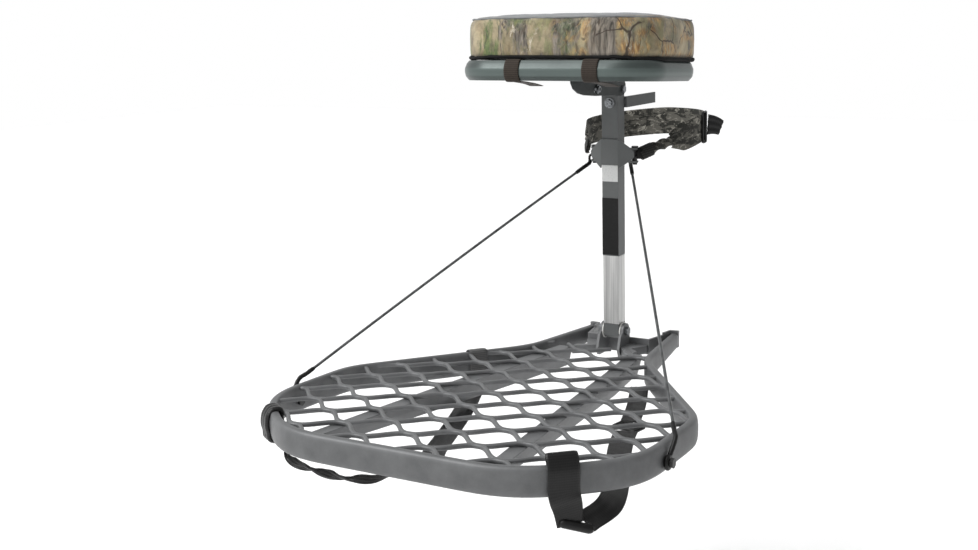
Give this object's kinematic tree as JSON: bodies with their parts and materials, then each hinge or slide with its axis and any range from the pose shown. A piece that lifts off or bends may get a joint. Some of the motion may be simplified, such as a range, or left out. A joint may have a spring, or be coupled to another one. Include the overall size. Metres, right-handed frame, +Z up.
{
  "type": "hang-on tree stand",
  "caption": "Folding hang-on tree stand: expanded-mesh platform on a square post, two support cables, padded flip-up seat and tree strap.",
  "frame": {"origin": "on the stand's centreline where the trunk touches it, level with the platform's surface at its hinge", "axes": "+Y points into the trunk and -Y to the front of the platform, +X to the right as seen from the front, +Z up"},
  "size_m": [0.6342, 0.9669, 0.6363],
  "materials": {
    "cast_frame": "grey powder coat on cast aluminium",
    "zinc_bolts": "zinc plated",
    "white_nylon": "nylon washer",
    "black_sleeve": "heat-shrink sleeve",
    "coated_cable": "steel cable in a thin clear-grey coat",
    "carry_webbing": "woven nylon webbing",
    "black_plastic": "moulded plastic",
    "post_paint": "grey powder coat",
    "bare_tube": "drawn tube with lengthwise streaks",
    "label_light": "blank light label",
    "label_black": "blank black label",
    "seat_paint": "greenish grey powder coat",
    "cushion_fabric": "printed woodland camouflage cloth with a grey top",
    "cushion_webbing": "brown-black webbing",
    "tree_webbing": "dark webbing with a faint camouflage print"
  },
  "bodies": {
    "post": {"cable_sleeve_upper_right": "black_sleeve", "cable_sleeve_upper_left": "black_sleeve", "support_cable_right": "coated_cable", "support_cable_left": "coated_cable", "post_tube_painted": "post_paint", "post_tube_bare": "bare_tube", "post_foot": "post_paint", "post_cap": "black_plastic", "label_white": "label_light", "label_dark": "label_black", "wing_bracket": "post_paint", "standoff_bracket": "post_paint", "head_bolt": "zinc_bolts", "seat_hinge_bolt": "zinc_bolts", "wing_pin_right": "zinc_bolts", "wing_pin_left": "zinc_bolts", "tree_strap_web": "tree_webbing", "tree_strap_wrap": "tree_webbing", "tree_strap_link": "tree_webbing", "tree_strap_keeper": "black_plastic", "tree_strap_tail": "tree_webbing", "tree_strap_hook": "tree_webbing"},
    "platform": {"platform_rim": "cast_frame", "platform_mesh": "cast_frame", "trunk_notch_plate": "cast_frame", "platform_brace_right": "cast_frame", "platform_brace_left": "cast_frame", "hinge_ear_right": "cast_frame", "hinge_ear_left": "cast_frame", "rear_strut_right": "cast_frame", "rear_strut_left": "cast_frame", "hinge_bolt": "zinc_bolts", "hinge_washer_right": "white_nylon", "hinge_washer_left": "white_nylon", "cable_bolt_right": "zinc_bolts", "cable_bolt_left": "zinc_bolts", "cable_sleeve_lower_right": "black_sleeve", "cable_sleeve_lower_left": "black_sleeve", "carry_loop_right": "carry_webbing", "carry_buckle_right": "black_plastic", "carry_run_right": "carry_webbing", "carry_slider_right": "black_plastic", "carry_run_rear_right": "carry_webbing", "carry_loop_left": "carry_webbing", "carry_twist_left": "carry_webbing", "carry_run_left": "carry_webbing", "carry_anchor_left": "carry_webbing"},
    "seat": {"seat_fin_right": "post_paint", "seat_fin_left": "post_paint", "level_bolt": "zinc_bolts", "seat_spacer": "post_paint", "seat_rail": "seat_paint", "seat_cross_plate": "seat_paint", "seat_cushion": "cushion_fabric", "cushion_strap_right": "cushion_webbing", "cushion_strap_left": "cushion_webbing"}
  },
  "joints": [
    {"name": "platform_fold", "type": "hinge", "parent": "post", "child": "platform", "pos_m": [0, -0.088, 0.015], "axis": [-1, 0, 0], "range_deg": [0, 82], "deforming": ["support_cable_right", "support_cable_left"]},
    {"name": "seat_flip", "type": "hinge", "parent": "post", "child": "seat", "pos_m": [0, -0.088, 0.441], "axis": [-1, 0, 0], "range_deg": [0, 91]}
  ],
  "couplings": [
    {"joint": "seat_flip", "follows": "platform_fold", "ratio": 1.1}
  ]
}
